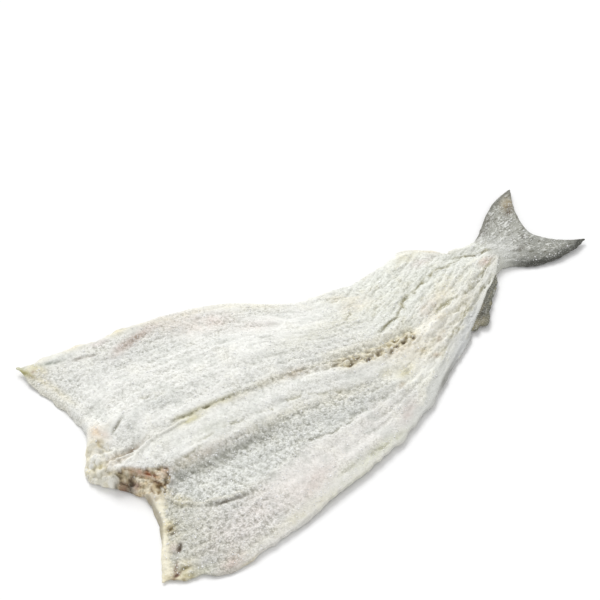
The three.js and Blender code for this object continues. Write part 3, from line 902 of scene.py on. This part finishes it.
def closed_piece(name, loop, top, base, top_paint, base_paint, spacing, bulge):
    """A solid between two height maps, with a rounded rim of three bands round the loop."""
    count = len(loop)
    upper = inner_points(loop, spacing)
    lower = inner_points(loop, SKIN_SPACING)
    out = outward(loop)
    high = sample(top, *loop.T)
    low = np.minimum(sample(base, *loop.T), high - 0.8)

    rings = [np.column_stack([loop, high])]
    for share, reach in RIM_RINGS:
        ring = loop + out * (bulge * reach)
        rings.append(np.column_stack([ring, mix(high, low, share)]))
    tops = np.column_stack([upper, sample(top, *upper.T)])
    bases = np.column_stack([lower, sample(base, *lower.T)])
    points = np.vstack([*rings, tops, bases])

    first_top = 4 * count
    first_base = first_top + len(upper)
    faces = []
    for face in triangulate(loop, upper):
        faces.append([p if p < count else p - count + first_top for p in face])
    around = np.arange(count)
    for ring in range(3):
        a, b = ring * count + around, ring * count + np.roll(around, -1)
        faces += np.stack([a, a + count, b + count, b], 1).tolist()
    rim_faces = len(faces)
    for face in triangulate(loop, lower):
        face = [p + 3 * count if p < count else p - count + first_base for p in face]
        faces.append(face[::-1])

    mesh = bpy.data.meshes.new(name)
    world = (points + PLAN_ORIGIN) * MM
    mesh.from_pydata(world.tolist(), [], faces)
    shades = np.ones((len(points), 4))
    for channel in range(4):
        painted = sample(top_paint[..., channel], points[:, 0], points[:, 1])
        under = sample(base_paint[..., channel], points[:, 0], points[:, 1])
        shades[:, channel] = np.where(np.arange(len(points)) < first_base, painted, under)
        for ring, share in ((2, 0.1), (3, 0.5)):
            band = slice(ring * count, (ring + 1) * count)
            shades[band, channel] = mix(painted[band], under[band], share)
    colours = mesh.color_attributes.new("tint", "FLOAT_COLOR", "POINT")
    colours.data.foreach_set("color", shades.ravel())
    materials = np.zeros(len(faces), int)
    materials[rim_faces:] = 1
    mesh.polygons.foreach_set("material_index", materials)
    mesh.polygons.foreach_set("use_smooth", np.ones(len(faces), bool))
    mesh.update()
    return add_object(name, mesh)


# ---- Outlines of the pieces ----

FLESH_END = [(-34, 484), (-22, 494), (-15, 503), (-8, 509), (0, 507), (10, 501), (34, 498)]


def flesh_loop():
    """The fish's outline up to the stalk, closed by the ragged end of the flesh."""
    kept = CAD_LOOP[:, 0] < smooth_curve(FLESH_END, CAD_LOOP[:, 1]) - 0.7
    first = np.flatnonzero(kept & ~np.roll(kept, 1))[0]
    body = np.roll(CAD_LOOP, -first, 0)[: kept.sum()]
    ys = np.linspace(body[-1, 1], body[0, 1], 44)[1:-1]
    end = np.column_stack([smooth_curve(FLESH_END, ys), ys])
    return np.vstack([body, end])


# Where the outline stands out or dips: x, y, how far along it, and how far out.
LUMPS = [
    (50, 152, 9, 3.6), (28, 157, 8, -2.0), (74, 147, 8, -1.0), (98, 143, 11, 3.4),
    (126, 136, 7, -1.6), (345, 58, 22, -6.0), (420, 60, 12, 4.0), (466, 35, 6, -6.0),
    (478, 31, 6, 2.5), (11, -83, 11, 3.4), (398, -83, 13, 4.0), (381, -93, 16, 1.0),
    (348, -112, 12, 1.2), (250, -149, 16, -2.6), (302, -132, 14, -2.0), (15, -160, 40, -2.0),
    (85, -174, 40, -2.4), (8, -157, 10, 1.0), (20, -163, 7, -3.4), (43, -170, 9, 1.8),
    (66, -175, 6, 1.4), (-18, -12, 6, 1.0), (-10, 12, 5, -1.5),
]


def lumpy(loop, lumps):
    push = np.zeros(len(loop))
    for x, y, reach, out in lumps:
        push += out * np.exp(-((loop[:, 0] - x) ** 2 + (loop[:, 1] - y) ** 2) / reach**2)
    return loop + outward(loop) * push[:, None]


def ragged(loop, amounts):
    """The outline worn unevenly, but not at sharp corners; amounts are (size, depth) pairs."""
    shift = sum(depth * loop_noise(loop, size) for size, depth in amounts)
    ahead, behind = np.roll(loop, -5, 0) - loop, loop - np.roll(loop, 5, 0)
    lengths = np.linalg.norm(ahead, axis=1) * np.linalg.norm(behind, axis=1)
    straight = (ahead * behind).sum(1) / lengths
    return loop + outward(loop) * (shift * step(0.0, 0.8, straight))[:, None]


FLESH_WEAR = [(30, 1.2), (14, 1.2), (7, 0.9), (3.5, 0.5)]
FLESH_RIM_SPACING = 1.3
flesh_ring = resample(lumpy(flesh_loop(), LUMPS), OUTLINE_SPACING)
flesh_ring = resample(ragged(flesh_ring, FLESH_WEAR), FLESH_RIM_SPACING)
flesh = closed_piece(
    "salted_flesh", flesh_ring, FLESH_Z, SKIN_Z, FLESH_PAINT, SKIN_PAINT, FLESH_SPACING, 0.8
)

# ---- Tail fin ----

FIN_SPACING = 0.9
TAIL_START = 484.0
RAYS = 17  # on each lobe
TAIL_LUMPS = [(534, -38, 14, 2.0), (596, -47, 14, 1.6), (582, -30, 12, -1.2), (512, 28, 10, 1.5)]


def tail_loop():
    kept = CAD_LOOP[:, 0] > TAIL_START
    first = np.flatnonzero(kept & ~np.roll(kept, 1))[0]
    fin = np.roll(CAD_LOOP, -first, 0)[: kept.sum()]
    ys = np.linspace(fin[-1, 1], fin[0, 1], 30)[1:-1]
    fin = np.vstack([fin, np.column_stack([np.full(len(ys), TAIL_START), ys])])
    return lumpy(resample(fin, FIN_SPACING), TAIL_LUMPS)


def tail_maps():
    onto_fin = step(512, 536, PX)
    ray = np.cos(2 * math.pi * RAYS * np.abs(ACROSS) ** 0.9 + 0.9 * NOISE_14)
    split = np.cos(4 * math.pi * RAYS * np.abs(ACROSS) ** 0.9 + 0.9 * NOISE_14)
    ribs = mix(ray, split, step(552, 575, PX)) * (0.7 + 0.5 * NOISE_14)  # the rays fork
    z = CAD_TOP - 1.1 * step(516, 500, PX)
    z = z + onto_fin * (0.3 * ribs + 0.6 * NOISE_14) * RIM_SOFT ** 0.5
    z += 0.25 * NOISE_2 + 0.25 * NOISE_6
    deep = np.maximum(z - CAD_BASE, 1.2)
    z = CAD_BASE + deep * (0.45 + 0.55 * np.sqrt(unit(1 - (1 - RIM_NEAR) ** 2)))

    patchy = NOISE_6 + 0.6 * NOISE_14
    right, left = onto_fin * step(2, -6, PY), onto_fin * step(6, 14, PY)
    paint = canvas(150, 151, 143)
    tint(paint, (196, 197, 191), spots((0.8, 519, -3, 22, 18), (0.4, 544, 6, 20, 14)))
    tint(paint, (196, 196, 186), 0.8 * step(520, 500, PX))
    tint(paint, (176, 176, 166), 0.6 * left)
    tint(paint, (126, 125, 112), 0.8 * step(0.0, 0.7, patchy) * onto_fin)
    tint(paint, (96, 94, 80), 0.85 * step(0.35, 0.9, NOISE_6 - 0.5 * NOISE_14) * onto_fin)
    tint(paint, (100, 101, 94), 0.75 * right * step(20, 2, FROM_RIGHT + 3 * NOISE_6))
    tint(paint, (82, 83, 74), 0.6 * right * step(582, 606, PX + 3 * NOISE_6))
    tint(paint, (88, 87, 76), 0.85 * left * step(7, 1, FROM_LEFT + 1.5 * NOISE_6))
    flecks = step(0.1, 0.6, NOISE_3 + 0.5 * NOISE_6)
    tint(paint, (84, 82, 70), 0.6 * left * flecks * step(22, 8, FROM_LEFT))
    tint(paint, (112, 112, 102), 0.8 * left * step(584, 598, PX))
    tint(paint, (112, 110, 100), 0.7 * onto_fin * (1 - RIM_NEAR))
    # The right lobe's edge is its own dark rim, darkened further as painted shade on the side
    # turned from the light.
    tint(paint, (52, 53, 46), 0.9 * right * step(8, 3, FROM_RIGHT + 1.5 * NOISE_6))
    tint(paint, (122, 120, 110), 0.5 * spot(551, 30, 13, 8))
    tint(paint, (176, 158, 120), 0.8 * spot(576, 53, 12, 7, 40) * (0.8 + 0.4 * NOISE_3))
    tint(paint, (84, 72, 52), spots((0.9, 572, 45, 8, 4.5, 40), (0.6, 566, 40, 5, 3, 0)))
    tint(paint, (92, 88, 78), spots((0.9, 553, 0, 5.5, 1.8, 30), (0.9, 517, 31, 13, 5.5, 24)))
    tint(paint, (104, 100, 88), spots((0.8, 540, 46, 12, 4, 30), (0.7, 538, -12, 9, 3, -10)))
    tint(paint, (140, 140, 130), 0.35 * onto_fin * step(0.1, -0.8, ribs))
    salted = NOISE_2 + 0.55 * NOISE_14 + 0.45 * NOISE_6 + 0.35 * step(545, 515, PX)
    salted = step(0.3, 0.95, salted) * RIM_SOFT ** 0.5
    tint(paint, (228, 229, 224), 0.85 * salted * (1 - 0.5 * right * step(24, 6, FROM_RIGHT)))
    tint(paint, (104, 92, 66), 0.75 * spot(570, 44, 9, 4.5, 42) * (0.7 + 0.6 * NOISE_3))
    return z, paint


TAIL_Z, TAIL_PAINT = tail_maps()
tail = closed_piece(
    "tail_fin", resample(ragged(tail_loop(), [(16, 0.6), (5, 0.5), (2.5, 0.3)]), FIN_SPACING),
    TAIL_Z, CAD_BASE, TAIL_PAINT, TAIL_PAINT * 0.9, FIN_SPACING, 0.35,
)

# ---- Anal fin ----

ANAL_FIN = [
    (491, -25), (485, -33), (476, -41), (464, -50), (448, -63), (437, -74), (431, -77),
    (425, -74), (418, -76), (411, -74), (414, -62), (440, -38),
]
ANAL_BASE, ANAL_TOP = 3.0, 5.8


def anal_maps():
    along, out = turned(PX - 484, PY + 30, -215)
    ribs = np.cos(2 * math.pi * (along + 0.6 * out + 1.0 * NOISE_6) / 2.9)
    z = ANAL_TOP - 0.6 + 0.5 * ribs + 0.3 * NOISE_3
    paint = canvas(114, 115, 102)
    tint(paint, (70, 66, 54), 0.85 * step(0.2, -0.7, ribs))
    tint(paint, (176, 166, 134), 0.45 * step(0.3, 0.9, NOISE_6) + 0.5 * spot(428, -70, 12, 6))
    tint(paint, (58, 54, 44), 0.6 * spot(438, -62, 16, 5, 42))
    tint(paint, (206, 206, 199), 0.55 * step(0.3, 1.0, NOISE_2 + 0.3 * NOISE_14))
    return z, paint


ANAL_Z, ANAL_PAINT = anal_maps()
anal_ring = resample(np.array(ANAL_FIN, float)[::-1], FIN_SPACING)
anal_ring = resample(ragged(anal_ring, [(6, 0.8), (3, 0.7)]), FIN_SPACING)
anal = closed_piece(
    "anal_fin", anal_ring,
    ANAL_Z, np.full(PX.shape, ANAL_BASE), ANAL_PAINT, ANAL_PAINT * 0.9, 0.8, 0.2,
)

# ---- Loose salt ----

GRAIN_COUNT = 4200
GRAIN_TRIES = 60000
GRAIN_SIZES = 0.45, 0.95
CUBE = np.array([(x, y, z) for x in (-0.5, 0.5) for y in (-0.5, 0.5) for z in (-0.5, 0.5)])
CUBE_FACES = np.array([
    (0, 1, 3, 2), (4, 6, 7, 5), (0, 4, 5, 1), (2, 3, 7, 6), (0, 2, 6, 4), (1, 5, 7, 3),
])


def grain_places():
    """Random places on the fish: more in the trough and on the tail, few in the hollow."""
    x, y = rng.uniform(X0, X1, GRAIN_TRIES), rng.uniform(Y0, Y1, GRAIN_TRIES)
    wanted = 0.35 + 0.3 * sample(TROUGH, x, y) + 0.12 * (x > TAIL_ROOT)
    wanted -= 0.33 * sample(HOLLOW, x, y)
    kept = (sample(RIM_NEAR * FISH, x, y) > 0.8) & (rng.uniform(0, 1, len(x)) < wanted)
    return x[kept][:GRAIN_COUNT], y[kept][:GRAIN_COUNT]


def salt_grains():
    """Small worn cubes lying half sunk in the crust and on the fins."""
    x, y = grain_places()
    ground = np.where(x > TAIL_ROOT + 4, sample(TAIL_Z, x, y), sample(FLESH_Z, x, y))
    size = rng.uniform(*GRAIN_SIZES, len(x))
    size *= np.where(rng.uniform(0, 1, len(x)) < 0.06, 1.5, 1.0)  # a few are coarse
    centres = np.column_stack([x, y, ground + 0.12 * size])
    points, faces = [], []
    for centre, edge in zip(centres, size):
        turn = np.linalg.qr(rng.normal(size=(3, 3)))[0]
        turn[:, 0] *= np.sign(np.linalg.det(turn))
        worn = CUBE * rng.uniform(0.75, 1.2, 3) * (1 + rng.uniform(-0.14, 0.14, (8, 1)))
        faces.append(CUBE_FACES + 8 * len(points))
        points.append((worn * edge) @ turn.T + centre)
    mesh = bpy.data.meshes.new("salt_grains")
    world = (np.concatenate(points) + PLAN_ORIGIN) * MM
    mesh.from_pydata(world.tolist(), [], np.concatenate(faces).tolist())
    mesh.update()
    return add_object("salt_grains", mesh)


salt = salt_grains()

# ---- Materials ----


class Nodes:
    """A short way to write a node material."""

    def __init__(self, name):
        self.material = bpy.data.materials.new(name)
        self.material.use_nodes = True
        self.tree = self.material.node_tree
        self.shader = self.tree.nodes["Principled BSDF"]
        self.place = self.new("ShaderNodeTexCoord").outputs["Object"]

    def new(self, kind, inputs=(), **settings):
        node = self.tree.nodes.new(kind)
        for key, value in settings.items():
            setattr(node, key, value)
        for key, value in dict(inputs).items():
            if isinstance(value, bpy.types.NodeSocket):
                self.tree.links.new(value, node.inputs[key])
            else:
                node.inputs[key].default_value = value
        return node

    def texture(self, kind, place, size_mm, inputs=(), **settings):
        inputs = {"Vector": place, "Scale": 1 / (size_mm * MM), **dict(inputs)}
        return self.new("ShaderNodeTex" + kind, inputs, **settings).outputs

    def noise(self, size_mm, detail=3.0, roughness=0.6):
        inputs = {"Detail": detail, "Roughness": roughness}
        return self.texture("Noise", self.place, size_mm, inputs)["Fac"]

    def cells(self, size_mm, feature="F1"):
        return self.texture("Voronoi", self.place, size_mm, feature=feature)["Distance"]

    def ramp(self, value, low, high, to_low=0.0, to_high=1.0):
        """to_low where value is low, to_high where it is high, and even between them."""
        inputs = {"Value": value, "From Min": low, "From Max": high}
        inputs.update({"To Min": to_low, "To Max": to_high})
        return self.new("ShaderNodeMapRange", inputs).outputs["Result"]

    def maths(self, operation, a, b):
        return self.new("ShaderNodeMath", {0: a, 1: b}, operation=operation).outputs[0]

    def blend(self, mode, factor, a, b):
        inputs = {0: factor, 6: a, 7: b}
        return self.new("ShaderNodeMix", inputs, data_type="RGBA", blend_type=mode).outputs[2]

    def grey(self, value):
        return self.new("ShaderNodeCombineColor", {0: value, 1: value, 2: value}).outputs[0]

    def tint(self, part="Color"):
        return self.new("ShaderNodeVertexColor", layer_name="tint").outputs[part]

    def finish(self, colour, roughness, height, distance_mm, strength):
        inputs = {"Height": height, "Distance": distance_mm * MM, "Strength": strength}
        bump_node = self.new("ShaderNodeBump", inputs)
        self.tree.links.new(colour, self.shader.inputs["Base Color"])
        self.tree.links.new(roughness, self.shader.inputs["Roughness"])
        self.tree.links.new(bump_node.outputs["Normal"], self.shader.inputs["Normal"])
        return self.material


def flesh_material():
    """A crust of salt grains; the tint's alpha says how coarse it is."""
    n = Nodes("salted_flesh")
    gritty = n.tint("Alpha")
    drift_size = 2.4
    drift = n.texture("Noise", n.place, drift_size, {"Detail": 1.0})["Color"]
    inputs = {0: drift, 1: (0.5, 0.5, 0.5)}
    shift = n.new("ShaderNodeVectorMath", inputs, operation="SUBTRACT").outputs[0]
    inputs = {0: shift, 1: (drift_size * MM,) * 3, 2: n.place}
    warped = n.new("ShaderNodeVectorMath", inputs, operation="MULTIPLY_ADD").outputs[0]
    grains = n.texture("Voronoi", warped, 2.0)["Distance"]
    patchy = n.ramp(n.noise(7.0, 2.0), 0.35, 0.65, 0.35, 0.9)
    creases = n.maths("MULTIPLY", n.ramp(grains, 0.40, 0.75), patchy)
    pits = n.ramp(n.noise(3.0, 4.0, 0.75), 0.43, 0.34)
    # Painted shade: the colour is darkened in the creases between grains and in small pits, the
    # more where the crust is gritty.
    dark = n.maths("MULTIPLY", n.maths("MAXIMUM", creases, pits), gritty)
    colour = n.blend("MULTIPLY", dark, n.tint(), (0.56, 0.56, 0.52, 1))
    colour = n.blend("MIX", n.ramp(grains, 0.16, 0.08, 0.0, 0.5), colour, (0.93, 0.94, 0.93, 1))
    fine = n.noise(1.3, 4.0, 0.7)
    rough = n.ramp(fine, 0.3, 0.7, 0.9, 0.62)
    domes = n.maths("MULTIPLY", n.maths("SUBTRACT", 1.0, grains), gritty)
    height = n.maths("ADD", domes, n.maths("MULTIPLY", fine, 0.5))
    return n.finish(colour, rough, height, 1.0, 0.8)


def skin_material():
    n = Nodes("cod_skin")
    scales = n.cells(2.2, "DISTANCE_TO_EDGE")
    mottle = n.noise(6.0, 4.0, 0.65)
    shade = n.ramp(mottle, 0.3, 0.7, 0.84, 1.1)
    colour = n.blend("MULTIPLY", 1.0, n.tint(), n.grey(shade))
    dusted = n.ramp(n.noise(1.6, 3.0), 0.58, 0.72, 0.0, 0.55)
    colour = n.blend("MIX", dusted, colour, (0.82, 0.82, 0.79, 1))
    rough = n.ramp(mottle, 0.3, 0.7, 0.55, 0.75)
    return n.finish(colour, rough, n.maths("MULTIPLY", scales, 2.0), 0.5, 0.5)


def fin_material():
    n = Nodes("fin_skin")
    grit = n.noise(1.2, 4.0, 0.7)
    shade = n.ramp(grit, 0.3, 0.7, 0.82, 1.12)
    colour = n.blend("MULTIPLY", 1.0, n.tint(), n.grey(shade))
    grains = n.ramp(n.cells(1.5), 0.12, 0.30, 0.5, 0.0)
    colour = n.blend("MIX", grains, colour, (0.88, 0.89, 0.87, 1))
    rough = n.ramp(grit, 0.3, 0.7, 0.7, 0.5)
    return n.finish(colour, rough, grit, 0.5, 0.6)


def salt_material():
    n = Nodes("salt_crystal")
    haze = n.noise(0.7, 2.0)
    colour = n.grey(n.ramp(haze, 0.3, 0.7, 0.80, 0.94))
    return n.finish(colour, n.ramp(haze, 0.3, 0.7, 0.25, 0.5), haze, 0.1, 0.3)


skin_look = skin_material()
fin_look = fin_material()
for piece, look in ((flesh, flesh_material()), (tail, fin_look), (anal, fin_look)):
    piece.data.materials.append(look)
    piece.data.materials.append(skin_look if piece is flesh else fin_look)
salt.data.materials.append(salt_material())

SLOTS = {flesh: "salted_flesh", tail: "fin", anal: "fin", salt: "salt"}
for piece, slot in SLOTS.items():
    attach(piece, "root")
for piece in (flesh, tail, anal):
    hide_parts("split_cod")

# ---- Floor, light and camera ----


def make_floor():
    mesh = bpy.data.meshes.new("floor")
    reach = 40.0
    corners = [(-reach, -reach, 0), (reach, -reach, 0), (reach, reach, 0), (-reach, reach, 0)]
    mesh.from_pydata(corners, [], [(0, 1, 2, 3)])
    floor = add_object("floor", mesh)
    floor.location.z = -0.0004  # just clear of the skin side
    look = bpy.data.materials.new("floor")
    look.use_nodes = True
    shader = look.node_tree.nodes["Principled BSDF"]
    shader.inputs["Base Color"].default_value = (0.95, 0.95, 0.95, 1)
    shader.inputs["Roughness"].default_value = 0.9
    mesh.materials.append(look)


def make_light():
    world = bpy.data.worlds.new("studio")
    world.use_nodes = True
    sky = world.node_tree.nodes["Background"]
    sky.inputs["Color"].default_value = (1, 1, 1, 1)
    sky.inputs["Strength"].default_value = 0.72
    bpy.context.scene.world = world
    key = bpy.data.lights.new("key", "SUN")
    key.energy = 1.7
    key.angle = math.radians(28)
    lamp = add_object("key", key)
    from_light = Vector((-0.25, -0.95, -0.95))
    lamp.rotation_euler = from_light.to_track_quat("-Z", "Y").to_euler()
    bpy.context.scene.view_settings.view_transform = "Standard"


CAMERA_TURN = 34.8  # degrees round from +Y towards +X
CAMERA_DOWN = math.radians(48)
CAMERA_DISTANCE = 1.2985
CAMERA_AIM = Vector((-0.0089, 0.0787, 0.0))  # from the middle of the fish's base


def make_camera():
    data = bpy.data.cameras.new("camera")
    data.lens = 70
    data.sensor_width = 36
    camera = add_object("camera", data)
    x, y = turned(0, math.cos(CAMERA_DOWN), -CAMERA_TURN)
    look = Vector((x, y, -math.sin(CAMERA_DOWN)))
    middle = Vector(((LOW.x + HIGH.x) / 2, (LOW.y + HIGH.y) / 2, LOW.z))
    camera.location = middle + CAMERA_AIM - look * CAMERA_DISTANCE
    camera.rotation_euler = look.to_track_quat("-Z", "Y").to_euler()
    bpy.context.scene.camera = camera


make_floor()
make_light()
make_camera()
